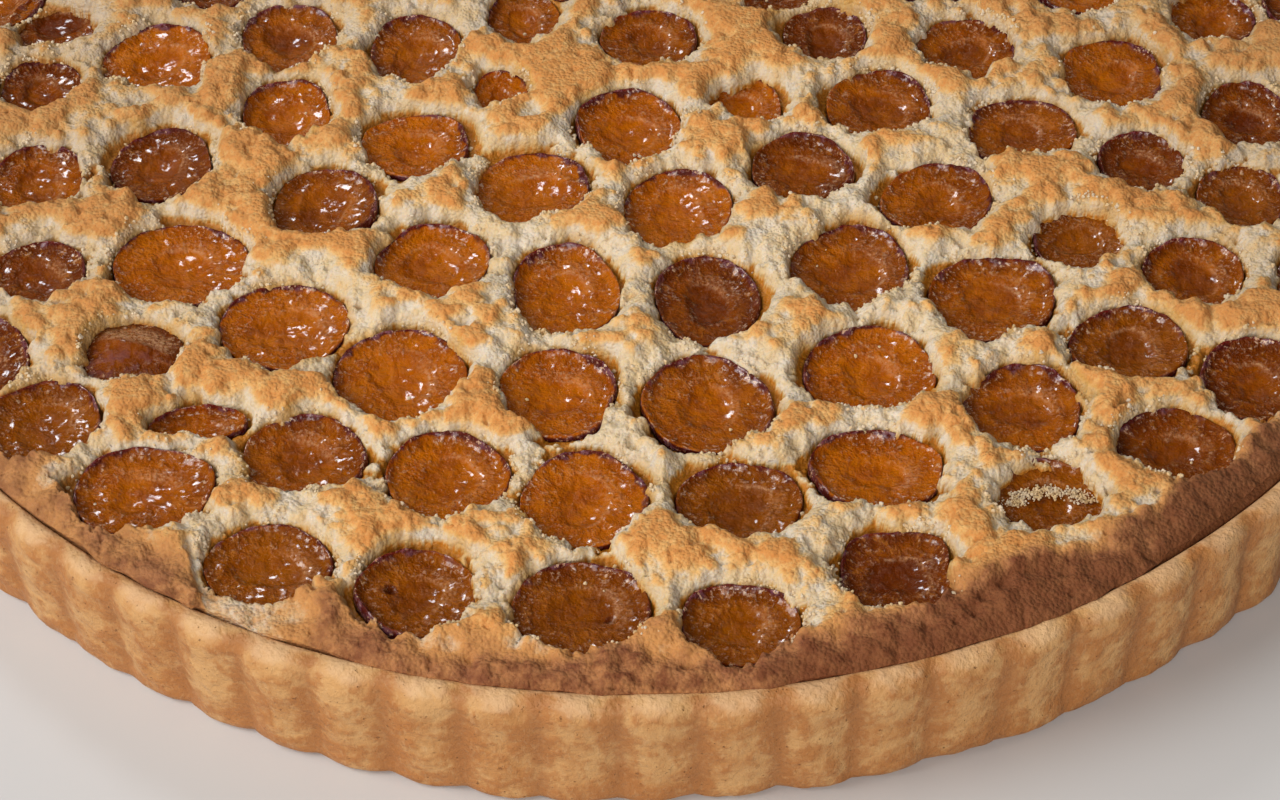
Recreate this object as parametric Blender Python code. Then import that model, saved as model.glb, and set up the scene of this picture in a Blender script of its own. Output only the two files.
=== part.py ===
"""Whole plum tart: a fluted pastry case, almond batter risen round the fruit, and plum halves in rings.

Metres, +Z up. The middle of the underside is the origin, and the side seen first faces -Y.
Lengths below are in millimetres and bearings in degrees from -Y towards +X, until a mesh is made.
"""

import math
import random

import bmesh
import bpy
from mathutils.geometry import delaunay_2d_cdt

MM = 0.001

# Pastry case
FLUTES = 74
FIRST_GROOVE = -2.2
FLUTE_DEPTH = 1.8
FOOT_RADIUS = 158.2
TOP_RADIUS = 160.0
CASE_HEIGHT = 26.0
CASE_INSIDE = 154.0
BASE_THICK = 4.0
LOBE_STEPS = (0.0, 0.18, 0.5, 0.82)

# Batter
GAP = 0.3
BATTER_SIDE = 153.6
LIP_RADIUS = 155.2
LIP_HEIGHT = 26.6
LIP_CREST = 27.8
RISE = 4.6
RISE_REACH = 4.2
CROWD = 0.6

# Plum halves
SIDES = 10
RIM_HEIGHT = 26.0
PLUM_DEPTH = 9.0
FOOT_SCALE = 0.68
CUT_SCALE = 0.84
CUT_DROP = 0.7
HOLLOW_SCALE = 0.42
HOLLOW_DROP = 3.0
WELL_GROW = 0.55
TYPICAL_SIZE = (21.5, 20.5)

# Rings from the edge inwards. Each row is a plum half as (bearing, radius, width, breadth).
# Width runs along X and breadth along Y. The last pair of a ring is the number of halves
# that fill its other side evenly, and their distance to the middle.
RINGS = {
    "a": (
        (-70, 143, 19, 20), (-60, 142, 20, 20), (-51, 140, 21, 21), (-40, 139, 25, 21), (-28, 141, 23, 18),
        (-17, 138, 21, 20), (-5, 137, 24, 21), (6, 141, 21, 17), (18, 136, 20, 20), (32, 132, 21, 17),
        (43, 137, 21, 19), (53, 138, 20, 20),
        (19, 139),
    ),
    "b": (
        (-104, 122, 20, 19), (-94, 120, 18, 19), (-80, 119, 21, 21), (-67, 124, 20, 18), (-53, 118, 19, 17),
        (-42, 121, 18, 8), (-32, 116, 22, 21), (-19, 110, 22, 22), (-6, 111, 23, 22), (8, 113, 23, 19),
        (21, 112, 24, 19), (37, 112, 21, 22), (50, 115, 22, 19), (62, 116, 19, 18), (74, 119, 18, 20),
        (86, 119, 17, 20), (101, 118, 17, 18),
        (11, 119),
    ),
    "c": (
        (-99, 98, 22, 21), (-80, 95, 20, 21), (-62, 99, 26, 23), (-46, 93, 24, 23), (-30, 90, 24, 24),
        (-11, 85, 22, 22), (7, 88, 24, 24), (27, 89, 24, 23), (47, 88, 24, 22), (62, 93, 18, 16),
        (77, 99, 17, 17), (93, 94, 20, 21),
        (9, 96),
    ),
    "d": (
        (-107, 74, 19, 22), (-88, 70, 18, 21), (-64, 68, 21, 20), (-40, 62, 22, 20), (-15, 58, 21, 25),
        (11, 60, 20, 24), (37, 64, 22, 23), (60, 65, 22, 19), (81, 75, 22, 18), (102, 67, 20, 19),
        (6, 71),
    ),
    "e": (
        (-139, 36, 16, 19), (-110, 48, 18, 23), (-74, 46, 22, 18), (-39, 34, 22, 22), (11, 34, 21, 23),
        (54, 38, 20, 19), (86, 47, 21, 21), (117, 42, 17, 18), (143, 45, 18, 18),
        (2, 47),
    ),
    "f": (
        (-96, 28, 11, 12), (-17, 9, 21, 21), (83, 19, 18, 19), (174, 19, 20, 18),
        (0, 0),
    ),
}

# Halves that lie under batter or past the part seen well are fused to the batter.
HALF_BURIED = ("a01", "a02", "b01", "e09", "f01", "f03")


def polar(radius, bearing, height=0.0):
    """A point from its distance to the middle and its bearing."""
    turn = math.radians(bearing)
    return (radius * math.sin(turn), -radius * math.cos(turn), height)


class Plum:
    """One oval half, cut side up, with a little tilt."""

    def __init__(self, name, centre, size, turn, draw):
        self.name = name
        self.x, self.y = centre
        self.half = [size[0] / 2, size[1] / 2]
        self.turn = turn
        self.lift = draw.uniform(-0.5, 0.5)
        self.slope = (draw.uniform(-0.05, 0.05), draw.uniform(-0.05, 0.05))

    def reach(self, dx, dy):
        """The oval's radius towards (dx, dy)."""
        angle = math.atan2(dy, dx) - self.turn
        across, along = self.half
        return across * along / math.hypot(along * math.cos(angle), across * math.sin(angle))

    def ring(self, scale, grow, drop):
        """Points of the outline, scaled, then grown outwards, and lowered from the rim."""
        points = []
        for step in range(SIDES):
            angle = 2 * math.pi * (step + 0.5) / SIDES
            across = (self.half[0] * scale + grow) * math.cos(angle)
            along = (self.half[1] * scale + grow) * math.sin(angle)
            dx = across * math.cos(self.turn) - along * math.sin(self.turn)
            dy = across * math.sin(self.turn) + along * math.cos(self.turn)
            height = RIM_HEIGHT + self.lift - drop + self.slope[0] * dx + self.slope[1] * dy
            points.append((self.x + dx, self.y + dy, height))
        return points


def lay_plums():
    """All halves ring by ring, those of each ring's far side spaced evenly, then thinned to fit."""
    draw = random.Random(11)
    plums = []
    for letter, row in RINGS.items():
        placed, (spare, distance) = row[:-1], row[-1]
        for number, (bearing, radius, width, breadth) in enumerate(placed, 1):
            centre = polar(radius, bearing)[:2]
            plums.append(Plum(f"{letter}{number:02d}", centre, (width, breadth), 0.0, draw))
        first, last = placed[0][0] + 360, placed[-1][0]
        for number in range(1, spare + 1):
            bearing = last + (first - last) * number / (spare + 1) + math.sin(7 * number)
            centre = polar(distance + 1.5 * math.cos(5 * number), bearing)[:2]
            size = [side + 1.5 * math.sin(3 * number + side) for side in TYPICAL_SIZE]
            plums.append(Plum(f"{letter}{len(placed) + number:02d}", centre, size, math.radians(bearing), draw))
    for _ in range(3):
        for place, one in enumerate(plums):
            for other in plums[place + 1:]:
                dx, dy = other.x - one.x, other.y - one.y
                room = math.hypot(dx, dy) - CROWD - 2 * WELL_GROW
                needed = one.reach(dx, dy) + other.reach(-dx, -dy)
                if needed > room:
                    for plum in (one, other):
                        plum.half = [side * room / needed for side in plum.half]
    return plums


def seen_well(plum):
    """Whether a half is its own node."""
    return int(plum.name[1:]) < len(RINGS[plum.name[0]]) and plum.name not in HALF_BURIED


def add_ring(mesh, points):
    return [mesh.verts.new(point) for point in points]


def band(mesh, lower, upper):
    """Triangles between two rings. The lower one has as many points, or a whole number of times as many."""
    ratio = len(lower) // len(upper)
    for index in range(len(upper)):
        after = (index + 1) % len(upper)
        start = index * ratio
        for step in range(ratio):
            here = lower[(start + step) % len(lower)]
            there = lower[(start + step + 1) % len(lower)]
            mesh.faces.new((here, there, upper[index]))
        mesh.faces.new((lower[(start + ratio) % len(lower)], upper[after], upper[index]))


def finish(name, mesh):
    """Makes one solid of the faces: triangles facing outwards, millimetres to metres."""
    bmesh.ops.triangulate(mesh, faces=mesh.faces[:])
    bmesh.ops.recalc_face_normals(mesh, faces=mesh.faces[:])
    bmesh.ops.scale(mesh, vec=(MM, MM, MM), verts=mesh.verts[:])
    data = bpy.data.meshes.new(name)
    mesh.to_mesh(data)
    mesh.free()
    bpy.context.scene.collection.objects.link(bpy.data.objects.new(name, data))


def fluted(radius, depth, height):
    """A ring round the case: wide round lobes with a narrow groove between each two."""
    points = []
    for flute in range(FLUTES):
        for step in LOBE_STEPS:
            groove = 1 - math.sin(math.pi * step) ** 0.6
            points.append(polar(radius - depth * groove, FIRST_GROOVE + (flute + step) * 360 / FLUTES, height))
    return points


def plain_ring(radius, height):
    return [polar(radius, FIRST_GROOVE + flute * 360 / FLUTES, height) for flute in range(FLUTES)]


def make_case():
    """The pastry case: flat foot, fluted wall with a rounded edge, and a plain dish inside."""
    mesh = bmesh.new()
    rows = [
        fluted(FOOT_RADIUS, FLUTE_DEPTH, 0.0),
        fluted(TOP_RADIUS, FLUTE_DEPTH, CASE_HEIGHT - 4.2),
        fluted(TOP_RADIUS - 0.9, FLUTE_DEPTH * 0.8, CASE_HEIGHT - 1.2),
        fluted(TOP_RADIUS - 3.0, FLUTE_DEPTH * 0.3, CASE_HEIGHT),
        plain_ring(CASE_INSIDE, CASE_HEIGHT - 0.8),
        plain_ring(CASE_INSIDE - 1.0, BASE_THICK),
    ]
    rings = [add_ring(mesh, row) for row in rows]
    for lower, upper in zip(rings, rings[1:]):
        band(mesh, lower, upper)
    mesh.faces.new(rings[0])
    mesh.faces.new(rings[-1])
    finish("pastry_case", mesh)


def make_plum(plum):
    """A half as its own solid: rounded underside, thin rim and the hollow left by the stone."""
    mesh = bmesh.new()
    rings = [
        add_ring(mesh, plum.ring(FOOT_SCALE, 0.0, PLUM_DEPTH)),
        add_ring(mesh, plum.ring(1.0, 0.0, 0.0)),
        add_ring(mesh, plum.ring(CUT_SCALE, 0.0, CUT_DROP)),
        add_ring(mesh, plum.ring(HOLLOW_SCALE, 0.0, HOLLOW_DROP)),
    ]
    for lower, upper in zip(rings, rings[1:]):
        band(mesh, lower, upper)
    mesh.faces.new(rings[0])
    mesh.faces.new(rings[-1])
    finish(f"plum_{plum.name}", mesh)


def batter_height(x, y, plums):
    """The batter swells into pillows with the distance to the halves round it."""
    clear = min(math.hypot(x - p.x, y - p.y) - p.reach(x - p.x, y - p.y) for p in plums)
    return RIM_HEIGHT + RISE * (1 - math.exp(-max(clear, 0.0) / RISE_REACH))


def pillow_points(plums):
    """The middle of each gap between three halves, where the batter stands highest."""
    centres = [(p.x, p.y) for p in plums] + [polar(LIP_RADIUS + 6, 8 * step)[:2] for step in range(45)]
    triangles = delaunay_2d_cdt(centres, [], [], 0, 0.001)[2]
    points = []
    for corners in triangles:
        x = sum(centres[corner][0] for corner in corners) / 3
        y = sum(centres[corner][1] for corner in corners) / 3
        clear = min(math.hypot(x - p.x, y - p.y) - p.reach(x - p.x, y - p.y) for p in plums)
        if clear > WELL_GROW + 1.0 and math.hypot(x, y) < LIP_RADIUS - 2.5:
            points.append((x, y, batter_height(x, y, plums)))
    return points


def make_batter(plums):
    """The batter: a browned wavy lip over the case, pillows between the halves, and a well for each."""
    draw = random.Random(5)
    outlines = [plum.ring(1.0, WELL_GROW, draw.uniform(-0.4, 0.3)) for plum in plums]
    edge = []
    for flute in range(FLUTES):
        bearing = FIRST_GROOVE + flute * 360 / FLUTES
        wave = 0.4 * math.sin(math.radians(5 * bearing)) + 0.3 * math.sin(math.radians(13 * bearing))
        edge.append(polar(LIP_RADIUS + wave, bearing, LIP_HEIGHT + 0.5 * wave))
    crest = []
    for flute in range(FLUTES):
        x, y, _ = polar(LIP_RADIUS - 2.0, FIRST_GROOVE + (flute + 0.5) * 360 / FLUTES)
        if min(math.hypot(x - p.x, y - p.y) - p.reach(x - p.x, y - p.y) for p in plums) > WELL_GROW + 0.8:
            crest.append((x, y, LIP_CREST))
    points = edge + [point for outline in outlines for point in outline] + crest + pillow_points(plums)
    loops = [range(len(edge))]
    for number in range(len(plums)):
        start = len(edge) + number * SIDES
        loops.append(range(start, start + SIDES))
    edges = [(loop[i], loop[(i + 1) % len(loop)]) for loop in loops for i in range(len(loop))]
    triangles = delaunay_2d_cdt([point[:2] for point in points], edges, [], 1, 0.00001)[2]
    mesh = bmesh.new()
    verts = [mesh.verts.new(point) for point in points]
    for corners in triangles:
        starts = {(corner - len(edge)) // SIDES for corner in corners}
        inside_oval = len(starts) == 1 and 0 <= min(starts) < len(plums) and min(corners) >= len(edge)
        outside = max(corners) < len(edge)
        if not inside_oval and not outside:
            mesh.faces.new([verts[corner] for corner in corners])
    for plum, loop in zip(plums, loops[1:]):
        rim = [verts[index] for index in loop]
        if seen_well(plum):
            floor = add_ring(mesh, plum.ring(FOOT_SCALE, GAP, PLUM_DEPTH + GAP))
            band(mesh, rim, floor)
            mesh.faces.new(floor)
        else:
            cut = add_ring(mesh, plum.ring(CUT_SCALE, 0.0, CUT_DROP))
            hollow = add_ring(mesh, plum.ring(HOLLOW_SCALE, 0.0, HOLLOW_DROP))
            band(mesh, rim, cut)
            band(mesh, cut, hollow)
            mesh.faces.new(hollow)
    neck = add_ring(mesh, plain_ring(BATTER_SIDE, CASE_HEIGHT - 0.5))
    foot = add_ring(mesh, plain_ring(BATTER_SIDE - 1.0, BASE_THICK + GAP))
    band(mesh, neck, verts[:len(edge)])
    band(mesh, foot, neck)
    mesh.faces.new(foot)
    finish("batter", mesh)


for old in list(bpy.data.objects):
    bpy.data.objects.remove(old, do_unlink=True)
all_plums = lay_plums()
make_case()
make_batter(all_plums)
for plum in all_plums:
    if seen_well(plum):
        make_plum(plum)
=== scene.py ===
"""A whole plum tart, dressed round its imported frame: pastry, almond batter, plum halves and crumbs.

Lengths are written in millimetres and bearings in degrees from the front towards +X.
A piece is made metres at the end. The table, lights and camera are in metres from the start.
"""

import math
import random

import bmesh
import bpy
import numpy as np
from mathutils import Matrix, Vector


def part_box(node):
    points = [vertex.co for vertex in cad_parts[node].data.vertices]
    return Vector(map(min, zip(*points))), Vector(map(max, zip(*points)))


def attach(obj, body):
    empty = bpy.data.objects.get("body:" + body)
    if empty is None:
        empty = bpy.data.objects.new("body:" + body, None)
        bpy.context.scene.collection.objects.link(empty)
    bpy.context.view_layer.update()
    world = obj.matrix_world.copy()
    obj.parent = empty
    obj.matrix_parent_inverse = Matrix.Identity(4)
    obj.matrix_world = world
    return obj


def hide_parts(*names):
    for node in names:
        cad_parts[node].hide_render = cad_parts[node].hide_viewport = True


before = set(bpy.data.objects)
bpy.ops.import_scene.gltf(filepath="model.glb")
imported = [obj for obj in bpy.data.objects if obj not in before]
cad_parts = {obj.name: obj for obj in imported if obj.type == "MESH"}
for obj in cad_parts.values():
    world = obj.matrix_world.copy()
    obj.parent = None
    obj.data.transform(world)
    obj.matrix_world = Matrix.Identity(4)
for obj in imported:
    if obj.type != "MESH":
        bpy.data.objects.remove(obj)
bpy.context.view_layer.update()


# Pastry case.
# A shortcrust case baked in a fluted tin and turned out of it: golden, smooth and a little greasy,
# toasted darker at the foot, with a rounded uneven edge; painted shade darkens the grooves and a painted
# highlight lightens the crests.

FLUTES = 74
# Bearing of the groove next to the front.
FIRST_GROOVE = -2.2
STEPS_A_FLUTE = 16
FLUTE_DEPTH = 1.5
# Radii between which the plain inside gives way to the fluted side.
SIDE = (154.6, 157.8)
# Heights between which the side becomes the uneven edge, and between which the painted highlight on the
# crests lies.
EDGE = (21.5, 25.5)
CREST_HIGHLIGHT_HEIGHTS = (21, 25.5)
# Height that the toasting at the foot reaches.
TOASTED_FOOT = 9
# Keeps a distance from being nothing where it divides.
HAIR = 1e-9
GOLDEN = (0.58, 0.315, 0.118)
DEEP_GOLDEN = (0.48, 0.215, 0.064)
TOASTED = (0.40, 0.150, 0.038)
PAINTED_CREST_HIGHLIGHT = (0.72, 0.47, 0.25)
FLOURY = (0.70, 0.46, 0.225)
PAINTED_GROOVE_SHADE = (0.34, 0.135, 0.04)
PORE_BROWN = (0.27, 0.095, 0.025)
# The case's section as (radius, height): from the middle of the base, up the side and down the inside.
CASE_PROFILE = (
    (0, 0), (60, 0), (120, 0), (150, 0), (156.2, 0), (157.4, 0.25), (158.1, 1.0), (158.35, 2.2), (158.5, 3.6),
    (158.65, 5.2), (158.8, 7.0), (158.95, 9.0), (159.1, 11.0), (159.25, 13.0), (159.4, 15.0), (159.55, 17.0),
    (159.7, 18.8), (159.85, 20.4), (159.9, 21.8), (159.8, 23.0), (159.4, 24.1), (158.8, 25.0), (158.0, 25.6),
    (157.1, 25.9), (156.3, 25.9), (155.5, 25.6), (155.0, 25.1), (154.7, 24.2), (154.4, 22.0), (154.0, 12.0),
    (153.6, 4.0), (100, 4), (0, 4),
)


def soft_step(value, low, high):
    """0 at low, 1 at high and a smooth rise between, for numbers and arrays."""
    share = np.clip((value - low) / (high - low), 0, 1)
    return share * share * (3 - 2 * share)


def clouds(x, y, size, seed):
    """Smooth random hills between -1 and 1, about the given size across."""
    lattice = np.random.default_rng(seed).uniform(-1, 1, (1024, 1024))
    column, row = np.floor(x / size).astype(int), np.floor(y / size).astype(int)
    u, v = soft_step(x / size - column, 0, 1), soft_step(y / size - row, 0, 1)
    near = lattice[column, row] * (1 - u) + lattice[column + 1, row] * u
    far = lattice[column, row + 1] * (1 - u) + lattice[column + 1, row + 1] * u
    return near * (1 - v) + far * v


def turned(profile, steps):
    """A closed mesh spun from a profile of (radius, height), and its points as an array."""
    mesh = bmesh.new()
    line = [mesh.verts.new((radius, 0, height)) for radius, height in profile]
    joined = [mesh.edges.new(pair) for pair in zip(line, line[1:])]
    bmesh.ops.spin(
        mesh, geom=line + joined, axis=(0, 0, 1), cent=(0, 0, 0),
        angle=2 * math.pi, steps=steps, use_merge=True,
    )
    bmesh.ops.remove_doubles(mesh, verts=mesh.verts[:], dist=0.0005)
    bmesh.ops.recalc_face_normals(mesh, faces=mesh.faces[:])
    return mesh, np.array([vert.co[:] for vert in mesh.verts])


def settle(name, mesh, points, slot, *nodes):
    """Turns a mesh and its points in millimetres into a finished piece that stands for its nodes."""
    data = bpy.data.meshes.new(name)
    mesh.to_mesh(data)
    mesh.free()
    data.vertices.foreach_set("co", (points / 1000).ravel())
    data.update()
    data.shade_smooth()
    piece = bpy.data.objects.new(name, data)
    bpy.context.scene.collection.objects.link(piece)
    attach(piece, "root")
    if nodes:
        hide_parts(*nodes)
    return piece


def tag(piece, name, *channels):
    """Keeps up to four numbers for each point, which the material reads."""
    values = np.zeros((len(channels[0]), 4))
    for number, channel in enumerate(channels):
        values[:, number] = channel
    piece.data.attributes.new(name, "FLOAT_COLOR", "POINT").data.foreach_set("color", values.ravel())


class Signal:
    """A number in a material, so that its maths reads as arithmetic."""

    def __init__(self, finish, socket):
        self.finish = finish
        self.socket = socket

    def _with(self, operation, first, second):
        return self.finish.node("ShaderNodeMath", {"operation": operation}, {0: first, 1: second})

    def __add__(self, other):
        return self._with("ADD", self, other)

    def __radd__(self, other):
        return self._with("ADD", other, self)

    def __sub__(self, other):
        return self._with("SUBTRACT", self, other)

    def __rsub__(self, other):
        return self._with("SUBTRACT", other, self)

    def __mul__(self, other):
        return self._with("MULTIPLY", self, other)

    def __rmul__(self, other):
        return self._with("MULTIPLY", other, self)

    def step(self, low, high):
        """0 at low and 1 at high, with a smooth rise between."""
        settings = {"interpolation_type": "SMOOTHSTEP"}
        return self.finish.node("ShaderNodeMapRange", settings, {0: self, 1: low, 2: high, 3: 0.0, 4: 1.0})


class Finish:
    """A material with one shader, and the one method that adds its other nodes."""

    def __init__(self, name, **constants):
        self.material = bpy.data.materials.new(name)
        self.material.use_nodes = True
        self.tree = self.material.node_tree
        self.shader = self.tree.nodes["Principled BSDF"]
        for socket, value in constants.items():
            self.shader.inputs[socket.replace("_", " ")].default_value = value

    def node(self, kind, settings, values, output=0):
        made = self.tree.nodes.new(kind)
        for name, value in settings.items():
            setattr(made, name, value)
        for name, value in values.items():
            if isinstance(value, Signal):
                self.tree.links.new(value.socket, made.inputs[name])
            else:
                made.inputs[name].default_value = value
        return Signal(self, made.outputs[output])

    def place(self, *stretch):
        """Object coordinates in millimetres, stretched on request."""
        here = self.node("ShaderNodeTexCoord", {}, {}, "Object")
        scale = [1000 * each for each in (stretch or (1, 1, 1))]
        return self.node("ShaderNodeMapping", {}, {"Vector": here, "Scale": scale})

    def tags(self, name):
        """The four numbers that tag() kept."""
        kept = {"attribute_name": name}
        first_three = self.node("ShaderNodeAttribute", kept, {}, "Color")
        parts = self.node("ShaderNodeSeparateColor", {}, {0: first_three})
        last = self.node("ShaderNodeAttribute", kept, {}, "Alpha")
        return [Signal(self, output) for output in parts.socket.node.outputs] + [last]

    def noise(self, where, size, detail=3.0, rough=0.55, twist=0.0):
        values = {"Vector": where, "Scale": 1 / size}
        values |= {"Detail": detail, "Roughness": rough, "Distortion": twist}
        return self.node("ShaderNodeTexNoise", {}, values)

    def cells(self, where, size):
        return self.node("ShaderNodeTexVoronoi", {}, {"Vector": where, "Scale": 1 / size})

    def mix(self, share, first, second):
        """The first colour, changing to the second as the share rises from 0 to 1."""
        one, other = [colour if isinstance(colour, Signal) else (*colour, 1) for colour in (first, second)]
        return self.node("ShaderNodeMix", {"data_type": "RGBA"}, {0: share, 6: one, 7: other}, 2)

    def bump(self, height, distance):
        return self.node("ShaderNodeBump", {}, {"Height": height, "Distance": distance / 1000, "Strength": 1})

    def feed(self, socket, value):
        self.tree.links.new(value.socket, self.shader.inputs[socket])


def flute(x, y):
    """0 on the crown of a lobe and 1 in the narrow groove between two."""
    turn = (np.degrees(np.arctan2(x, -y)) - FIRST_GROOVE) * FLUTES / 360
    return 1 - np.abs(np.sin(np.pi * turn)) ** 0.9


def shape_case(points):
    """Presses the flutes into the turned profile, then lets the dough sag and wrinkle."""
    x, y, z = points.T
    radius = np.hypot(x, y) + HAIR
    shown = soft_step(radius, *SIDE)
    # The grooves wander a little to either side, and fade towards the edge and the foot.
    lean = 0.5 * clouds(x, y, size=13, seed=9) + 0.04 * (z - 12) * clouds(x, y, size=9, seed=10)
    groove = flute(x - lean * y / radius, y + lean * x / radius)
    depth = FLUTE_DEPTH * (1 + 0.4 * clouds(x, y, size=15, seed=1)) * (1 - 0.5 * soft_step(z, 22, 26))
    # The side sags in broad swells with smaller wrinkles on them.
    slack = 0.55 * clouds(x + 1.4 * z, y + 0.8 * z, size=19, seed=2)
    slack = slack + 0.36 * clouds(x + z, y - z, size=6, seed=3)
    wrinkles = 0.2 * clouds(x + 2 * z, y + 1.5 * z, size=2.7, seed=4)
    slack += wrinkles + 0.07 * clouds(x - 2 * z, y + 1.5 * z, size=1.3, seed=20)
    outward = shown * (slack - depth * (0.75 + 0.25 * soft_step(z, 0, 6)) * groove)
    # The edge rises and falls, and dips over each groove.
    waves = 0.4 * clouds(x, y, size=21, seed=5) + 0.35 * clouds(x, y, size=6, seed=6)
    waves = waves + 0.2 * clouds(x, y, size=2.4, seed=7)
    z = z + soft_step(z, *EDGE) * shown * (waves - 0.4 * groove)
    outward += 0.25 * shown * clouds(x, y, size=4, seed=8) * (1 - soft_step(z, 0, 3))
    return np.stack([x * (1 + outward / radius), y * (1 + outward / radius), z], axis=1)


pastry = Finish("golden_shortcrust", Specular_IOR_Level=0.3)
where = pastry.place()
groove_shade_mark, low_mark, crest_highlight_mark = pastry.tags("case")[:3]
patches = pastry.noise(where, 8, 2)
mottles = pastry.noise(where, 2.6, 3, 0.6)
fibres = pastry.noise(pastry.place(1, 1, 0.45), 0.8, 3, 0.65, 0.6)
pores = pastry.noise(where, 0.9, 2, 0.5)
tint = pastry.mix(patches.step(0.35, 0.65), GOLDEN, DEEP_GOLDEN)
# Toasting comes in patches and at the foot; its groove term adds painted shade.
toast = mottles * 0.9 + patches * 0.4 + groove_shade_mark * 0.2 + low_mark * 0.14
tint = pastry.mix(toast.step(0.6, 0.84) * 0.8, tint, TOASTED)
# Painted highlight on the crests of the lobes, broken at the grooves.
tint = pastry.mix((crest_highlight_mark * 0.6 + mottles * 0.6).step(0.62, 0.95) * 0.6, tint, PAINTED_CREST_HIGHLIGHT)
tint = pastry.mix(fibres.step(0.5, 0.72) * 0.25, tint, FLOURY)
# Painted shade in the grooves.
tint = pastry.mix(groove_shade_mark.step(0.35, 1.0) * 0.5, tint, PAINTED_GROOVE_SHADE)
tint = pastry.mix(pores.step(0.70, 0.78) * 0.5, tint, PORE_BROWN)
pastry.feed("Base Color", tint)
pastry.feed("Roughness", 0.36 + mottles * 0.3)
relief = mottles + fibres * 0.22 + pores * 0.15 - pores.step(0.68, 0.8) * 0.4
pastry.feed("Normal", pastry.bump(relief, 0.8))

case, points = turned(CASE_PROFILE, FLUTES * STEPS_A_FLUTE)
x, y, z = points.T
case_piece = settle("fluted_case", case, shape_case(points), "pastry", "pastry_case")
# Tags where painted shade lies in the grooves, where the foot is toasted, and where the painted highlight
# lies on the crests.
groove_shade = flute(x, y) * soft_step(np.hypot(x, y), *SIDE)
crest_highlights = soft_step(z, *CREST_HIGHLIGHT_HEIGHTS) * (1 - 0.7 * groove_shade)
tag(case_piece, "case", groove_shade, 1 - soft_step(z, 0, TOASTED_FOOT), crest_highlights)
case_piece.data.materials.append(pastry.material)


# Almond batter.
# Poured over the fruit and risen round it: cream-coloured crumb in broken edges, golden pillows,
# juice-soaked sides in the wells, and a browned granular lip that swells over the pastry edge.

# Height of the pastry's rim. The batter's heights are counted from here.
RIM = 26.0
HIGHEST = 4.9
JUICE_FLOOR = -0.4
# The lip's edge, and the batter under it, inside the pastry.
LIP_RADIUS = 155.4
NECK_RADIUS = 154.2
# Left of the front the lip has lifted off the pastry and torn: first and last bearing of the loose flap.
FLAP = (-43, -30.2)
# Degrees over which the lip comes away, the tear's slant in degrees a millimetre, and its outer end.
FLAP_PEELS = 4
TEAR_SLANT = 0.39
TEAR_RADIUS = 153.5
# Width over which the lip rounds down to its edge.
LIP_WIDTH = 8.4
# Rings that the far side fills: last and next bearing of the near side, halves between, distance out.
FAR_SIDE = ((53, 290, 19, 139), (101, 256, 11, 119), (93, 261, 9, 96), (102, 253, 6, 71), (143, 221, 2, 47))
FAR_WIDTH = 21.5
FAR_BREADTH = 20.5
# Halves half hidden in the batter: bearing, distance to the middle, width and breadth.
HALF_BURIED = {
    "a01": (-70, 143, 19, 20), "a02": (-60, 142, 20, 20), "b01": (-104, 122, 20, 19),
    "e09": (143, 45, 18, 18), "f01": (-96, 28, 11, 12), "f03": (83, 19, 18, 19),
}
# Halves that the batter laps over: how far the opening is shifted in x and y, and its share of the half.
LAPPED = {
    "f03": (3.2, -0.6, 0.7), "a10": (-0.6, -1.2, 0.86), "b06": (0, 0, 1.05), "c10": (0, -0.5, 0.93),
    "b01": (0, -3, 0.7),
}
NOT_LAPPED = (0, 0, 1)
# Lobes of a half's outline: how many, and how large a share of its size.
LOBES = ((2, 0.03), (3, 0.035), (4, 0.025), (5, 0.015), (7, 0.01))
# The solids' halves are cut with ten sides, so their widest corner is this far round from x.
CORNER = math.radians(18)
# Halves with nearly square edges, and those that lie skin side up.
SQUARED = {"a09": 0.08}
SKIN_UP = ("b05",)
# The batter is cut from side to side into strips, and each is a grid of this many faces.
STRIPS = ("front", "near", "fore", "aft", "far", "back")
GRID_COLUMNS = 700
GRID_ROWS = 118
# Where the batter's side ends, just above the pastry's floor.
BATTER_FOOT = 4.3
# How far round a half its well can reach.
WELL_REACH = 26
# Where the batter is palest; away from here it turns darker and duller.
PALEST = (5, -75, RIM)
CREAM = (0.72, 0.62, 0.49)
BUFF = (0.70, 0.52, 0.29)
GOLDEN_TOP = (0.76, 0.45, 0.16)
BROWN_TOP = (0.62, 0.225, 0.045)
SOAKED_CRUMB = (0.56, 0.30, 0.055)
POOLED_JUICE = (0.52, 0.18, 0.006)
LIP_START = (0.62, 0.285, 0.085)
LIP_LIGHT = (0.48, 0.205, 0.072)
LIP_DARK = (0.17, 0.045, 0.012)
LIP_RED = (0.25, 0.076, 0.034)
LIP_DARKEST = (0.16, 0.040, 0.009)
DULL_GOLDEN = (0.27, 0.145, 0.06)


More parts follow.
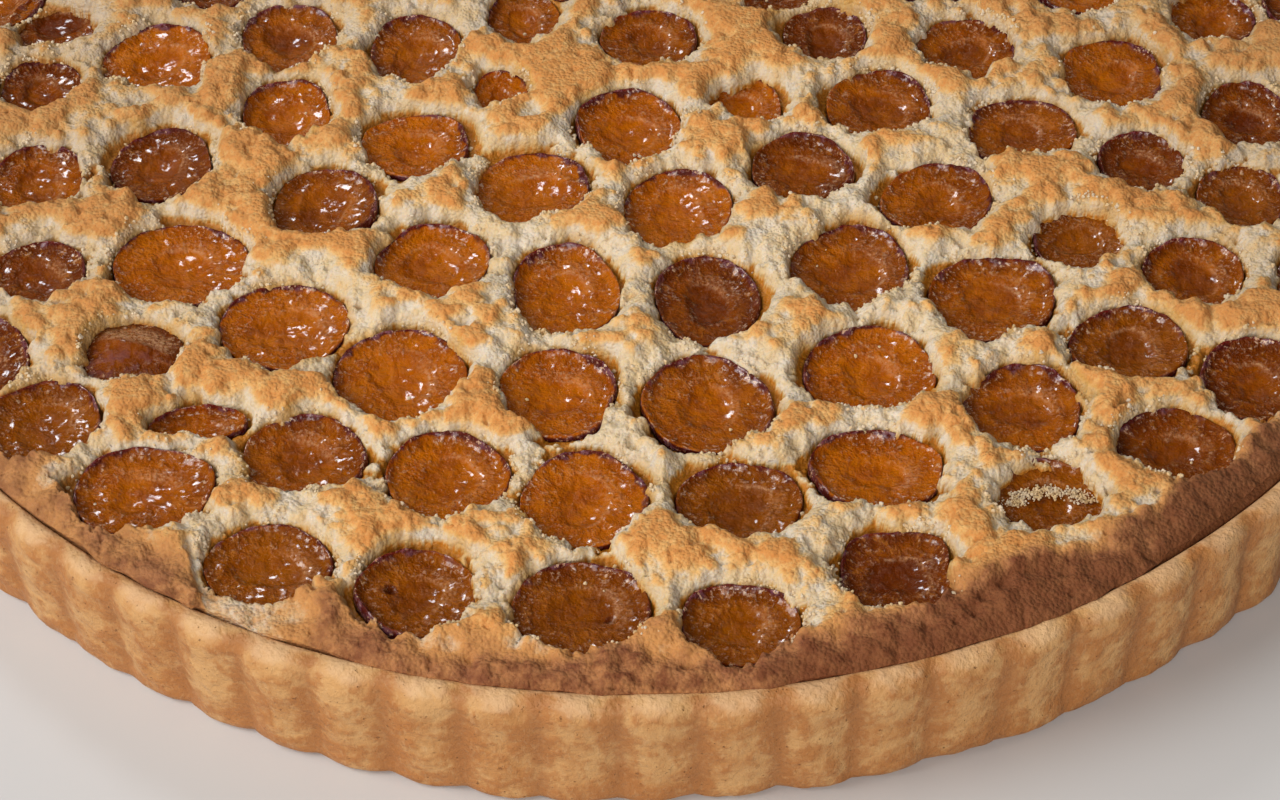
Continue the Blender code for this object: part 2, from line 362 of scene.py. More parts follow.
class Half:
    """The place and size of one plum half, and the draws that make it unlike the others."""

    def __init__(self, name, node, x, y, across, along, turn, rim):
        self.name, self.node = name, node
        self.x, self.y, self.turn, self.rim = x, y, turn, rim
        self.across, self.along = across, along
        self.draw = random.Random(name)
        uniform = self.draw.uniform
        self.waves = [(lobes, size * uniform(0.3, 1), uniform(0, 6.3)) for lobes, size in LOBES]
        self.waves.append((4, SQUARED.get(name, 0), -math.pi / 2))
        self.lap = LAPPED.get(name, NOT_LAPPED)

    def outline(self, angle):
        """The half's edge towards an angle of its own frame, as a share of the plain oval."""
        return 1 + sum(size * np.sin(order * angle + phase) for order, size, phase in self.waves)

    def own(self, x, y):
        """Places in the half's own frame, as shares of its size."""
        dx, dy = x - self.x, y - self.y
        own_x = dx * math.cos(self.turn) + dy * math.sin(self.turn)
        own_y = dy * math.cos(self.turn) - dx * math.sin(self.turn)
        return own_x / self.across, own_y / self.along

    def share(self, x, y):
        """Distance from the middle as a share of the outline."""
        own_x, own_y = self.own(x, y)
        return np.hypot(own_x, own_y) / self.outline(np.arctan2(own_y, own_x))

    def clearance(self, x, y):
        """Millimetres from the edge of the batter's opening, negative inside it."""
        shift_x, shift_y, scale = self.lap
        share = self.share(x - shift_x, y - shift_y) / scale + 1e-6
        return (share - 1) * np.hypot(x - self.x - shift_x, y - self.y - shift_y) / share


def lay_halves():
    """The halves that are solids lie where their solids lie. The others follow their rings."""
    halves = []
    for node in sorted(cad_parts):
        if node.startswith("plum_"):
            low, high = (1000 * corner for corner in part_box(node))
            across, along = (high.x - low.x) / 2 / math.cos(CORNER), (high.y - low.y) / 2
            middle = (low + high) / 2
            name = node.removeprefix("plum_")
            halves.append(Half(name, node, middle.x, middle.y, across, along, 0, high.z - 0.3))
    for name, (bearing, distance, width, breadth) in HALF_BURIED.items():
        turn = math.radians(bearing)
        place = (distance * math.sin(turn), -distance * math.cos(turn))
        halves.append(Half(name, "batter", *place, width / 2, breadth / 2, 0, RIM))
    for last, first, count, distance in FAR_SIDE:
        for number in range(1, count + 1):
            bearing = last + (first - last) * number / (count + 1) + math.sin(7 * number)
            turn = math.radians(bearing)
            away = distance + 1.5 * math.cos(5 * number)
            sizes = [(side + 1.5 * math.sin(3 * number + side)) / 2 for side in (FAR_WIDTH, FAR_BREADTH)]
            place = (away * math.sin(turn), -away * math.cos(turn))
            halves.append(Half(f"far{distance}_{number}", "batter", *place, *sizes, turn, RIM))
    return halves


def pebbles(x, y, size, seed):
    """Domes of packed grains: height from 0 between them to 1, and one random tone for each."""
    spots = np.random.default_rng(seed).random((1024, 1024, 3))
    column, row = np.floor(x / size).astype(int), np.floor(y / size).astype(int)
    best, tone = np.full(x.shape, 9.0), np.zeros(x.shape)
    for near_column in (column - 1, column, column + 1):
        for near_row in (row - 1, row, row + 1):
            spot = spots[near_column, near_row]
            away = np.hypot(near_column + spot[:, 0] - x / size, near_row + spot[:, 1] - y / size)
            tone = np.where(away < best, spot[:, 2], tone)
            best = np.minimum(best, away)
    return np.clip(1 - best * best, 0, 1), tone


def loose_flap(bearing):
    """1 on the torn flap and 0 elsewhere, for bearings in degrees."""
    return soft_step(bearing, FLAP[0], FLAP[0] + FLAP_PEELS) * (bearing < FLAP[1])


def lip_reach(bearing):
    """How far out the lip comes, for bearings in degrees."""
    angle = np.radians(bearing)
    ring_x, ring_y = LIP_RADIUS * np.sin(angle), LIP_RADIUS * np.cos(angle)
    reach = LIP_RADIUS + 0.9 * clouds(ring_x, ring_y, size=15, seed=19)
    reach = reach + 0.5 * clouds(ring_x, ring_y, size=5, seed=20) + 0.5 * loose_flap(bearing)
    # It drew back from the pastry right of the front, and beside the tear.
    drawn_back = 1.8 * soft_step(bearing, 25, 42) * soft_step(bearing, 65, 48)
    beside_tear = soft_step(bearing, FLAP[1] - 0.01, FLAP[1]) * soft_step(bearing, FLAP[1] + 5, FLAP[1] + 1)
    return reach - drawn_back - 0.9 * beside_tear


def lie_of_batter(x, y):
    """Height of the batter's surface at arrays of places, and how browned, juicy and lip-like it is there."""
    nearest, second = np.full(x.shape, 60.0), np.full(x.shape, 60.0)
    well, beyond = np.full(x.shape, JUICE_FLOOR), np.zeros(x.shape)
    for half in halves:
        close = np.flatnonzero((np.abs(x - half.x) < WELL_REACH) & (np.abs(y - half.y) < WELL_REACH))
        gap = half.clearance(x[close], y[close])
        dx, dy = x[close] - half.x, y[close] - half.y
        beyond[close] = np.where(gap < nearest[close], dy / (np.hypot(dx, dy) + 0.1), beyond[close])
        second[close] = np.minimum(second[close], np.maximum(gap, nearest[close]))
        nearest[close] = np.minimum(nearest[close], gap)
        bowl = half.rim - RIM - 0.7 - 10 * np.sqrt(np.clip(1 - half.share(x[close], y[close]) ** 4, 0, 1))
        well[close] = np.minimum(well[close], bowl)
    hills = clouds(x, y, size=12, seed=11)
    knolls = clouds(x, y, size=5.5, seed=12)
    lumps = clouds(x, y, size=2.6, seed=13)
    clumps, clump_tone = pebbles(x, y, size=2.3, seed=14)
    grains, grain_tone = pebbles(x, y, size=1.05, seed=15)

    # The edge of a well is nibbled by grains and has broken out in scoops where there is room.
    room_between = nearest + second
    nibble = 0.75 * lumps + 0.8 * (clumps - 0.6) + 0.7 * (grains - 0.6) + 0.6 * knolls
    scoop = soft_step(clouds(x, y, size=7.5, seed=18), 0.15, 0.6) * soft_step(room_between, 2, 6)
    gap = nearest + 0.05 + nibble * soft_step(room_between, 0.5, 4) - 1.7 * scoop

    # The wider the room between the fruit, the higher the batter rose. It climbed steeply on the near
    # edges of the fruit and thinned out behind the far ones.
    room = np.clip((room_between - 1.2) / 9, 0, 1)
    summit = 1.2 + 3.5 * room + 0.8 * hills + 1.1 * knolls + 0.5 * lumps
    slope_width = 2.3 + 0.9 * clouds(x, y, size=8, seed=17) + 1.1 * beyond
    slope = 1 - np.clip(gap / slope_width, 0, 1)
    pillow = summit * (0.42 * (1 - slope ** 1.7) + 0.58 * (1 - np.exp(-np.maximum(gap, 0) / 3.2)))

    # The lip swells in waves and rounds down to its edge, except on the loose flap.
    angle, radius = np.arctan2(x, -y), np.hypot(x, y)
    bearing = np.degrees(angle)
    wave = 0.5 * np.sin(5 * angle) + 0.4 * np.sin(13 * angle) + 0.3 * np.sin(31 * angle) + 0.7 * hills
    roll = np.clip(1 - (lip_reach(bearing) - radius) / LIP_WIDTH, 0, 1)
    swell = (1.9 + 0.5 * wave + 0.7 * knolls + 0.5 * lumps) * (1 - roll ** 3) - 0.5 * roll ** 6
    swell += 0.2 + 1.3 * loose_flap(bearing) * soft_step(roll, 0.4, 1)
    lip = soft_step(radius + 1.5 * knolls + 1.5 * hills, 145, 150)
    height = pillow + (np.minimum(swell, (0.4 + swell) * soft_step(gap, -0.3, 1.8)) - pillow) * lip

    # Beside the flap a piece of the lip is missing.
    tear = FLAP[1] - TEAR_SLANT * (TEAR_RADIUS - radius)
    notch = soft_step(bearing, tear - 0.3, tear + 0.3) * soft_step(bearing, -22, -26)
    notch = notch * soft_step(radius, 144, 149)
    height = np.where(notch > 0, height + (0.15 + 0.3 * lumps - height) * notch, height)

    # Slopes are broken crumb and tops are smoother, with pits here and there.
    broken = 1 - 0.5 * soft_step(slope, 0.5, 0)
    crumbly = 0.8 * broken * (clumps - 0.5) + 0.5 * broken * (grains - 0.5) + 0.1 * (grains - 0.5)
    crumbly = crumbly + 0.5 * lumps - 0.8 * soft_step(clouds(x, y, size=1.7, seed=26), 0.5, 0.85)
    height += soft_step(gap, 0, 0.6) * (1 - 0.3 * lip) * crumbly
    height = np.where(gap > 0, np.minimum(height, HIGHEST), well + 0.2 * lumps)

    # High places browned first, and the middle of the front stayed palest.
    heat = 1.3 * soft_step(np.hypot(x - PALEST[0], y - PALEST[1]), 30, 110)
    heat = heat + 0.9 * clouds(x, y, size=45, seed=27) + 0.5 * soft_step(y, -20, 100) - 0.2
    exposed = height + heat + 1.0 * hills + 1.1 * knolls + 0.4 * lumps
    browned = soft_step(exposed, 2.4, 5.4) * soft_step(gap, 0.3, 2.2)
    patchy = soft_step(clouds(x, y, size=14, seed=16) + 0.5 * knolls, -0.5, 0.4)
    soaked = soft_step(2.4 - gap + 1.2 * knolls, 0, 3) * patchy
    juice = np.maximum(0.6 * soaked, soft_step(gap, 0.25, -0.1))
    juice = np.maximum(juice, soft_step(height, 1.2, 0.1) * soft_step(nearest, 5, 3) * (1 - lip))
    # The crust is darkest on the right.
    crust = soft_step(radius + 2.5 * knolls + 2 * hills + 1.2 * lumps, 141.5, 153)
    crust = crust * (0.9 + 0.7 * soft_step(x, -20, 90) + 0.25 * hills) * (1 - 0.7 * notch)
    return RIM + height, browned, juice, crust, 0.5 * grain_tone + 0.3 * clump_tone + 0.2 * grains


def batter_strip(row):
    """One strip of the round batter: a grid pulled out to the circle, with sides drawn down."""
    mesh = bmesh.new()
    bmesh.ops.create_grid(mesh, x_segments=GRID_COLUMNS, y_segments=GRID_ROWS, size=1)
    rim = [edge for edge in mesh.edges if edge.is_boundary]
    for level in (-1, -2, -3):
        below = bmesh.ops.extrude_edge_only(mesh, edges=rim)["geom"]
        for edge in rim:
            edge.smooth = False
        for vert in (part for part in below if isinstance(part, bmesh.types.BMVert)):
            vert.co.z = level
        rim = [part for part in below if isinstance(part, bmesh.types.BMEdge) and part.is_boundary]
    bmesh.ops.holes_fill(mesh, edges=rim, sides=0)
    bmesh.ops.recalc_face_normals(mesh, faces=mesh.faces[:])
    u, v, level = np.array([vert.co[:] for vert in mesh.verts]).T
    v = -1 + (row + (v + 1) / 2) * 2 / len(STRIPS)
    flat_x, flat_y = u * np.sqrt(1 - v * v / 2), v * np.sqrt(1 - u * u / 2)
    bearing = np.degrees(np.arctan2(flat_x, -flat_y))
    reach = lip_reach(bearing)
    x, y = reach * flat_x, reach * flat_y
    height, *tones = lie_of_batter(x, y)
    radius = np.hypot(x, y) + HAIR
    # Below the surface come the underside of the lip, the neck inside the pastry, and the foot.
    ring = (-level).astype(int)
    everywhere = np.ones_like(radius)
    neck, foot = NECK_RADIUS * everywhere, (NECK_RADIUS - 0.8) * everywhere
    outer = np.choose(ring, [radius, reach - 0.2, neck, foot])
    # The side of the disk follows the lip's edge, and the straight sides between strips stay straight.
    inset = np.where(radius > reach - 0.5, outer / radius, 1)
    underside = np.minimum(height - 0.3, RIM - 0.9 + loose_flap(bearing))
    levels = [height, underside, np.minimum(underside - 0.5, RIM - 1.7), BATTER_FOOT * everywhere]
    places = np.stack([x * inset, y * inset, np.choose(ring, levels)], axis=1)
    piece = settle(f"batter_{STRIPS[row]}", mesh, places, "batter", "batter")
    tag(piece, "bake", *tones)
    return piece


crumb = Finish(
    "risen_almond_batter", Specular_IOR_Level=0.3, Subsurface_Weight=0.25,
    Subsurface_Radius=(1.0, 0.7, 0.35), Subsurface_Scale=0.0012,
)
where = crumb.place()
browned, juicy, lipped, tone = crumb.tags("bake")
grit = crumb.noise(where, 0.5, 3, 0.7)
specks = crumb.noise(where, 1.3, 3, 0.6)
blotch = crumb.noise(where, 6, 3)
bits = crumb.cells(where, 0.75)
mottle = crumb.noise(where, 2.8, 3, 0.6)
shade = tone * 0.5 + grit * 0.5
tint = crumb.mix((shade * 0.6 + blotch * 0.5).step(0.38, 0.7), CREAM, BUFF)
baked = browned + (specks - 0.5) * 0.8 + (blotch - 0.5) * 0.7 + (tone - 0.5) * 0.4
tint = crumb.mix(baked.step(0.1, 0.75), tint, GOLDEN_TOP)
tint = crumb.mix((baked + (specks - 0.5) * 0.5).step(0.5, 1.2) * 0.8, tint, BROWN_TOP)
wet = juicy + (specks - 0.5) * 0.3
tint = crumb.mix(wet.step(0.1, 0.6) * 0.75, tint, SOAKED_CRUMB)
tint = crumb.mix(wet.step(0.5, 0.9) * 0.95, tint, POOLED_JUICE)
lip_tint = crumb.mix((shade * 0.3 + specks * 0.3 + mottle * 0.7).step(0.5, 0.8), LIP_DARK, LIP_LIGHT)
lip_tint = crumb.mix(blotch.step(0.45, 0.65) * 0.4, lip_tint, LIP_RED)
# Darkest where the crust is strongest, mostly on the right.
lip_tint = crumb.mix((lipped - 0.85).step(0.0, 0.55) * 0.8, lip_tint, LIP_DARKEST)
crusted = lipped + (blotch - 0.5) * 0.5 + (specks - 0.5) * 0.5
tint = crumb.mix(crusted.step(0.05, 0.55), tint, LIP_START)
tint = crumb.mix(crusted.step(0.35, 1.0), tint, lip_tint)
# The batter turns darker and duller with distance from its palest place.
from_palest = crumb.node("ShaderNodeVectorMath", {"operation": "DISTANCE"}, {0: where, 1: PALEST}, 1)
crumb.feed("Base Color", crumb.mix(from_palest.step(45, 200) * 0.5, tint, DULL_GOLDEN))
crumb.feed("Roughness", 0.85 - juicy * 0.5)
crumb.feed("Normal", crumb.bump(grit * 0.5 + specks * 0.4 - bits * 0.8, 0.4))

halves = lay_halves()
for row in range(len(STRIPS)):
    batter_strip(row).data.materials.append(crumb.material)


# Plum halves.
# Small yellow plums halved, stoned and laid cut side up: amber wet flesh with fine radial fibres,
# a smooth hollow where the stone was, and a thin curled edge of purple skin.

PLUM_STEPS = 64
# How the halves that show have cooked. Any other half draws one of these.
# The names are made of a ring's letter, from the edge inwards, and a number round it.
TONES = {
    "amber": "b08 b09 c03 c04 c05 c06 c08 d02 d04 d05 e03 e04 e05 f01 f02 f03 c01 b11",
    "olive": "a03 a05 a08 a10 b13 c10 a07 b15 b10 a06",
    "brown": "a04 b03 b06 b07 b12 b14 c07 c09 c12 d01 d03 d07 d08 d09 d10 e01 e02 e07 f04 b17",
    "dark": "a09 a11 a12 b02 b04 b05 b16 c02 c11 d06 e06 e08",
}
# Darkness and greenness of each tone.
TONE_MIX = {"amber": (0.0, 0.05), "olive": (0.3, 0.7), "brown": (0.32, 0.2), "dark": (0.72, 0.1)}
# Small pits in the flesh: where in x and y from the middle.
PITS = {"a06": (-4.5, 1.8), "a07": (4.9, -1.6)}
# Rings of the cut face, as shares of the half's size, and angles of the rings of skin below it.
TOP_SHARES = (
    0, 0.08, 0.15, 0.22, 0.28, 0.34, 0.39, 0.43, 0.47, 0.51, 0.55, 0.59,
    0.64, 0.69, 0.74, 0.79, 0.83, 0.87, 0.905, 0.935, 0.96, 0.98,
)
SKIN_ANGLES = (0, 0.1, 0.3, 0.6, 0.95, 1.3, math.pi / 2)
SKIN_DEPTH = 8.6
# Heights of the fruit's edge and of the skin just under it.
CUT_EDGE = -0.12
SKIN_TOP = -0.45
PIT_WIDTH = 0.9
PIT_DEPTH = 1.1
NO_PIT = (99, 99)
AMBER = (0.46, 0.115, 0.001)
DEEP_AMBER = (0.36, 0.077, 0.001)
OLIVE = (0.15, 0.040, 0.001)
DARK_SYRUP = (0.11, 0.017, 0.001)
LIT_FIBRES = (0.52, 0.17, 0.012)
DARK_FIBRES = (0.16, 0.032, 0.002)
PURPLE_SKIN = (0.075, 0.009, 0.007)
LILAC_BLOOM_AND_SHEEN = (0.28, 0.12, 0.17)
PAINTED_PINK_GLINTS = (0.68, 0.43, 0.27)
PAINTED_ARC_GLINTS = (0.62, 0.34, 0.17)


def make_half(half):
    """Spins the half's section, then pulls it to its oval and gives it hollow, wrinkles and curled rim."""
    draw = half.draw
    stone, deep, long_way = draw.uniform(0.44, 0.56), draw.uniform(0.25, 0.7), draw.uniform(0, math.pi)
    tilt_x, tilt_y = draw.uniform(-0.06, 0.06), draw.uniform(-0.02, 0.08)
    curl, curl_at = draw.uniform(0.2, 1.3), draw.uniform(0.3, 2.8)
    seed = draw.randrange(1000)
    under = [(math.cos(angle), SKIN_TOP - SKIN_DEPTH * math.sin(angle)) for angle in SKIN_ANGLES]
    mesh, points = turned([(share, 0) for share in TOP_SHARES] + [(1.0, CUT_EDGE)] + under, PLUM_STEPS)
    own_x, own_y, level = points.T
    share, angle = np.hypot(own_x, own_y), np.arctan2(own_y, own_x)
    top = level > -0.2
    ring_x, ring_y = np.cos(angle), np.sin(angle)
    hollow_edge = stone * (1 + 0.14 * np.cos(2 * (angle - long_way)) + 0.05 * np.sin(3 * angle + seed))
    flesh = soft_step(share, hollow_edge - 0.17, hollow_edge + 0.05)
    arcs = 0
    for number, strength in enumerate((1.0, 0.7, 0.5)):
        facing = np.clip(1.4 * np.cos(angle - draw.uniform(-0.6, 1.6)) - 0.5, 0, 1)
        arcs = arcs + strength * facing * np.exp(-((share - hollow_edge + 0.04 - 0.09 * number) / 0.03) ** 2)
    offset = 5 * (seed % 100)
    streaks = clouds(5.5 * ring_x + 2 * share + offset, 5.5 * ring_y, 1, seed)
    puckers = clouds(9 * ring_x + share + offset, 9 * ring_y, 1, seed + 1)
    x = own_x * half.across * half.outline(angle)
    y = own_y * half.along * half.outline(angle)
    rim_lift = (0.35 + curl * (0.5 + 0.5 * np.cos(angle - curl_at))) * soft_step(share, 0.8, 0.99)
    relief = -0.2 - 0.9 * (1 - share) - deep * (1 - flesh) + rim_lift + 0.1 * arcs
    ripples = 0.32 * clouds(x + offset, y, size=3.4, seed=21) * share
    relief += ripples + 0.14 * clouds(x + offset, y, size=1.3, seed=22)
    relief += flesh * (0.16 * streaks + 0.10 * puckers * share)
    relief += 0.12 * puckers * soft_step(share, 0.8, 0.98)
    ridge = own_y - 0.12 + 0.3 * own_x
    if half.name in SKIN_UP:
        folded = 2.6 * (1 - share ** 2) * (1 - np.abs(ridge))
        relief = folded - 0.4 + 0.25 * clouds(x + offset, y, size=4, seed=24)
    pit_x, pit_y = PITS.get(half.name, NO_PIT)
    pit = np.exp(-(np.hypot(x - pit_x, y - pit_y) / PIT_WIDTH) ** 4)
    z = np.where(top, relief - PIT_DEPTH * pit, level)
    shrink = 1 - 0.035 * soft_step(share, 0.9, 1) * np.where(top, np.clip(rim_lift, 0, 1), 0)
    x, y = x * shrink, y * shrink
    z = half.rim + z + tilt_x * x + tilt_y * y
    turned_x = half.x + x * math.cos(half.turn) - y * math.sin(half.turn)
    turned_y = half.y + x * math.sin(half.turn) + y * math.cos(half.turn)
    places = np.stack([turned_x, turned_y, z], axis=1)
    piece = settle(f"plum_half_{half.name}", mesh, places, "plum", half.node)
    kinds = [kind for kind, names in TONES.items() if half.name in names.split()]
    dark, green = TONE_MIX[kinds[0] if kinds else draw.choice(sorted(TONES))]
    # The far edge faces the oven's heat. The hollow is made lighter or darker at random, partly its own tone
    # and partly painted shade where it lies in shadow, and the pits are coloured dark.
    scorch = soft_step(share + 0.12 * streaks, 0.6, 0.98) * (0.5 + 0.5 * np.cos(angle - curl_at))
    dark = dark + draw.uniform(-0.06, 0.1) + 0.45 * scorch
    dark = dark - draw.uniform(-0.25, 0.2) * (1 - flesh) + 3 * pit * top
    curled = soft_step(share + 0.03 * puckers + 0.08 * streaks, 0.87, 0.98)
    curled = curled * np.cos((angle - curl_at) / 2) ** 2
    # On a half lying skin side up, a painted highlight lies above the ridge, with darker skin below it.
    if half.name in SKIN_UP:
        curled = 0.35 * soft_step(ridge, 0.1, -0.4)
        arcs = 0.9 * soft_step(ridge, -0.05, 0.15) * soft_step(share, 0.9, 0.6)
    # The fourth number marks the painted glints on the arcs round the hollow.
    tag(piece, "cooked", dark, green * np.ones_like(share), np.where(top, curled, 1), arcs * top)
    tag(piece, "grain", ring_x * 2.2 + seed % 10, ring_y * 2.2, share, flesh)
    return piece


plum = Finish(
    "baked_plum", Specular_IOR_Level=0.14, Specular_Tint=(1.0, 0.72, 0.42, 1.0), Coat_Roughness=0.1,
    Subsurface_Weight=0.2, Subsurface_Radius=(1.0, 0.3, 0.05), Subsurface_Scale=0.004,
)
where = plum.place()
dark, green, skin, arc_glints = plum.tags("cooked")
grain_x, grain_y, share, flesh = plum.tags("grain")
along = plum.node("ShaderNodeCombineXYZ", {}, {0: grain_x, 1: grain_y, 2: share * 1.2})
fibres = plum.noise(along, 0.2, 3, 0.6)
cloud = plum.noise(where, 5, 2)
mist = plum.noise(where, 1.8, 3, 0.6)
flecks = plum.noise(where, 0.75, 2, 0.6)
fine = plum.noise(where, 0.4, 3, 0.65)
tint = plum.mix(cloud.step(0.35, 0.65), AMBER, DEEP_AMBER)
tint = plum.mix(green * 0.85, tint, OLIVE)
tint = plum.mix((dark + (cloud - 0.5) * 0.6 + (mist - 0.5) * 0.5 * flesh).step(0.0, 1.05), tint, DARK_SYRUP)
tint = plum.mix(flesh * (fibres * 0.5 + mist * 0.5).step(0.5, 0.64) * 0.4, tint, LIT_FIBRES)
tint = plum.mix(flesh * (fibres * 0.6 + flecks * 0.4).step(0.48, 0.36) * 0.4, tint, DARK_FIBRES)
tint = plum.mix((skin + (mist - 0.5) * 0.8).step(0.25, 0.8), tint, PURPLE_SKIN)
# The skin's lilac bloom, partly a painted sheen.
tint = plum.mix(skin * mist.step(0.48, 0.6) * 0.4, tint, LILAC_BLOOM_AND_SHEEN)
# Painted glints: pink flecks gathered in patches near the edge and on the flesh.
edge = (share + (mist - 0.5) * 0.3).step(0.75, 0.95)
gathered = (edge * 0.5 + flesh * 0.3 + 0.03) * (mist * 0.5 + cloud * 0.5).step(0.42, 0.58)
tint = plum.mix(gathered * (flecks * 0.75 + fine * 0.25).step(0.54, 0.62), tint, PAINTED_PINK_GLINTS)
# Painted glints along the arcs round the hollow.
tint = plum.mix(arc_glints * (fine * 0.5 + flecks * 0.5).step(0.38, 0.56) * 0.6, tint, PAINTED_ARC_GLINTS)
plum.feed("Base Color", tint)
plum.feed("Roughness", 0.08 + flesh * 0.04 + mist * 0.12)
plum.feed("Coat Weight", (mist * 0.6 + flecks * 0.4).step(0.47, 0.58))
relief = fibres * flesh * 0.45 + fine * 0.1 + flecks * flesh * 0.6 + mist * 1.6
plum.feed("Normal", plum.bump(relief, 0.6))

for half in halves:
    make_half(half).data.materials.append(plum.material)


# Loose crumbs.
# Grains of the pale batter that broke off as it rose: they lie along the edges of the wells,
# on the pillows and here and there on the fruit.

# Places tried. Less than half of them lie where crumbs gathered.
CRUMBS = 22000
GRAIN_SHAPES = 9
# The half that carries a heap of crumbs.
HEAPED = "a10"
HEAP_CRUMBS = 900
HEAP_SCALE = 0.6
# Half lengths of the heap's arc, and how far its middle lies from the half's.
HEAP_ARC = (7.5, 4.8)
HEAP_SHIFT = (-0.6, -2.4)
CRUMB_SIZES = (0.18, 0.22, 0.26, 0.32, 0.42)
# Crumbs stay off the lip. Few reach the fruit and the juice, and none the tops of the pillows.
CRUMBS_END = 147
LOW_CRUMB = RIM - 0.6
ON_FRUIT = RIM - 0.5
TOP_CRUMB = RIM + HIGHEST - 0.9
SUNK_SHARE = 0.85
CRUMB_CREAM = (0.70, 0.58, 0.42)
CRUMB_BUFF = (0.66, 0.47, 0.24)


def grain_shapes(draw):
    """A few uneven pebbles, each from a ball of twenty faces."""
    shapes = []
    for _ in range(GRAIN_SHAPES):
        pebble = bmesh.new()
        bmesh.ops.create_icosphere(pebble, subdivisions=1, radius=1)
        points = np.array([vert.co[:] for vert in pebble.verts])
        faces = np.array([[vert.index for vert in face.verts] for face in pebble.faces])
        pebble.free()
        points *= 1 + np.array([[draw.uniform(-0.35, 0.3)] for _ in points])
        shapes.append((points, faces))
    return shapes


def crumb_places(draw):
    """Random places, most of them just outside the edge of a well."""
    places = []
    while len(places) < CRUMBS:
        half = draw.choice(halves)
        angle = draw.uniform(0, 2 * math.pi)
        away = 1 + abs(draw.gauss(0.03, 0.07))
        if draw.random() < 0.1:
            away = draw.uniform(0.4, 1.4)
        reach = away * half.outline(angle)
        own_x, own_y = reach * half.across * math.cos(angle), reach * half.along * math.sin(angle)
        x = half.x + own_x * math.cos(half.turn) - own_y * math.sin(half.turn)
        y = half.y + own_x * math.sin(half.turn) + own_y * math.cos(half.turn)
        if math.hypot(x, y) < CRUMBS_END:
            places.append((x, y))
    x, y = np.array(places).T
    gathered = clouds(x, y, size=6, seed=31) > 0.1
    x, y = x[gathered], y[gathered]
    return np.stack([x, y, lie_of_batter(x, y)[0], np.ones_like(x)], axis=1)


def crumb_heap(draw):
    """A crescent of crumbs that slid onto the far part of one half."""
    half = next(half for half in halves if half.name == HEAPED)
    heap = []
    for _ in range(HEAP_CRUMBS):
        turn = math.radians(draw.uniform(15, 170))
        away = draw.gauss(0.85, 0.15) + 0.25 * max(0, math.cos(turn)) + 0.08 * math.sin(9 * turn)
        x = half.x + HEAP_SHIFT[0] + HEAP_ARC[0] * away * math.cos(turn)
        y = half.y + HEAP_SHIFT[1] + HEAP_ARC[1] * away * math.sin(turn)
        piled = draw.uniform(0, 1) * (1.0 - 2 * abs(away - 0.95))
        heap.append((x, y, half.rim - 0.7 + piled, HEAP_SCALE))
    return heap


draw = random.Random(21)
shapes = grain_shapes(draw)
points, faces, start = [], [], 0
for x, y, z, scale in [*crumb_heap(draw), *crumb_places(draw)]:
    if z > TOP_CRUMB:
        continue
    if z < LOW_CRUMB:
        if draw.random() < SUNK_SHARE:
            continue
        z = ON_FRUIT
    pebble, corners = shapes[draw.randrange(GRAIN_SHAPES)]
    size = scale * draw.choice(CRUMB_SIZES)
    turn = np.array(Matrix.Rotation(draw.uniform(0, 6.3), 3, (draw.random(), draw.random(), 1)))
    points.append(pebble * size @ turn.T + (x, y, z + 0.3 * size))
    faces.append(corners + start)
    start += len(pebble)
data = bpy.data.meshes.new("loose_crumbs")
data.from_pydata(0.001 * np.vstack(points), [], np.vstack(faces).tolist())
crumbs = bpy.data.objects.new("loose_crumbs", data)
bpy.context.scene.collection.objects.link(crumbs)
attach(crumbs, "root")
pale = Finish("pale_crumb", Roughness=0.75, Specular_IOR_Level=0.3)
pale_tint = pale.mix(pale.noise(pale.place(), 2.5, 2).step(0.35, 0.65), CRUMB_CREAM, CRUMB_BUFF)
pale.feed("Base Color", pale_tint)
crumbs.data.materials.append(pale.material)


# Table, light and camera.
# A plain pale table under soft window light from behind on the left, seen from close by in front.

TABLE_SIZE = 3.0
CAMERA_TARGET = Vector((-0.0014, -0.0852, 0.026))
CAMERA_DISTANCE = 0.6424
CAMERA_HEIGHT_ANGLE = math.radians(43.87)
CAMERA_ROLL = math.radians(-1.13)
CAMERA_LENS = 100
CAMERA_SENSOR = 36
PALE_GREY = (0.62, 0.61, 0.60, 1)
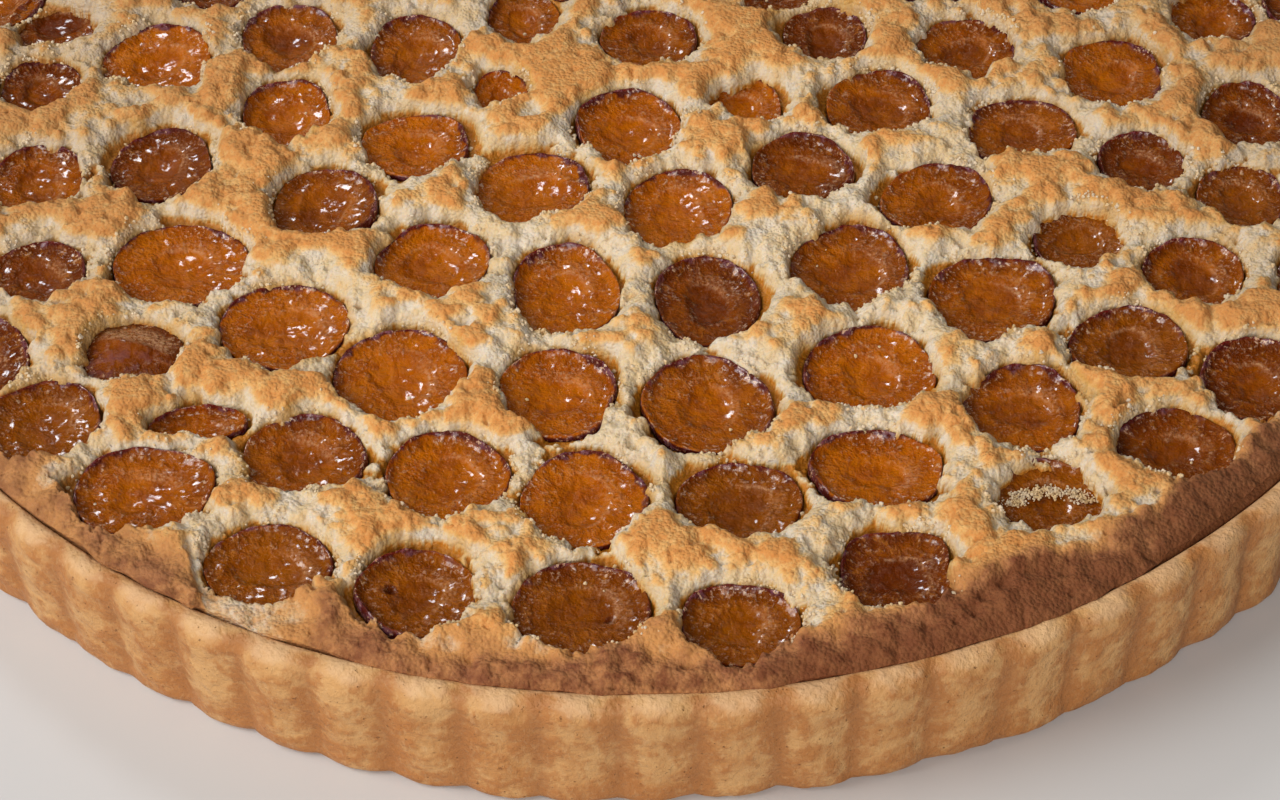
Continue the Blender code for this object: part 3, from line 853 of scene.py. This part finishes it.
# Each light: name, place, width, power and colour.
LIGHTS = (
    ("window", (-1.45, -0.3, 1.35), 1.3, 28, (1.0, 0.98, 0.96)),
    ("room", (-0.2, -1.7, 0.9), 1.6, 24, (1.0, 0.97, 0.95)),
    ("sky", (-0.6, 1.35, 1.4), 0.4, 7, (0.94, 0.96, 1.0)),
)
ROOM_COLOUR = (1.0, 0.98, 0.95, 1)
ROOM_STRENGTH = 0.12

table = bmesh.new()
bmesh.ops.create_grid(table, x_segments=1, y_segments=1, size=TABLE_SIZE / 2)
table_data = bpy.data.meshes.new("table")
table.to_mesh(table_data)
table.free()
table_top = bpy.data.objects.new("table", table_data)
bpy.context.scene.collection.objects.link(table_top)
plain = Finish("pale_table", Base_Color=PALE_GREY, Roughness=0.7)
table_data.materials.append(plain.material)


for name, place, size, power, colour in LIGHTS:
    lamp = bpy.data.lights.new(name, "AREA")
    lamp.shape = "DISK"
    lamp.size = size
    lamp.energy = power
    lamp.color = colour
    holder = bpy.data.objects.new(name, lamp)
    facing_tart = Vector(place).to_track_quat("Z", "Y").to_matrix().to_4x4()
    holder.matrix_world = Matrix.Translation(place) @ facing_tart
    bpy.context.scene.collection.objects.link(holder)

world = bpy.data.worlds.new("room")
bpy.context.scene.world = world
world.use_nodes = True
world.node_tree.nodes["Background"].inputs["Color"].default_value = ROOM_COLOUR
world.node_tree.nodes["Background"].inputs["Strength"].default_value = ROOM_STRENGTH
bpy.context.scene.view_settings.view_transform = "Standard"

look = Vector((0, math.cos(CAMERA_HEIGHT_ANGLE), -math.sin(CAMERA_HEIGHT_ANGLE)))
level_right = Vector((1, 0, 0))
level_up = level_right.cross(look)
right = math.cos(CAMERA_ROLL) * level_right + math.sin(CAMERA_ROLL) * level_up
up = math.cos(CAMERA_ROLL) * level_up - math.sin(CAMERA_ROLL) * level_right
lens = bpy.data.cameras.new("camera")
lens.lens = CAMERA_LENS
lens.sensor_width = CAMERA_SENSOR
lens.clip_start = 0.01
camera = bpy.data.objects.new("camera", lens)
turned_to = Matrix((right, up, -look)).transposed().to_4x4()
camera.matrix_world = Matrix.Translation(CAMERA_TARGET - CAMERA_DISTANCE * look) @ turned_to
bpy.context.scene.collection.objects.link(camera)
bpy.context.scene.camera = camera
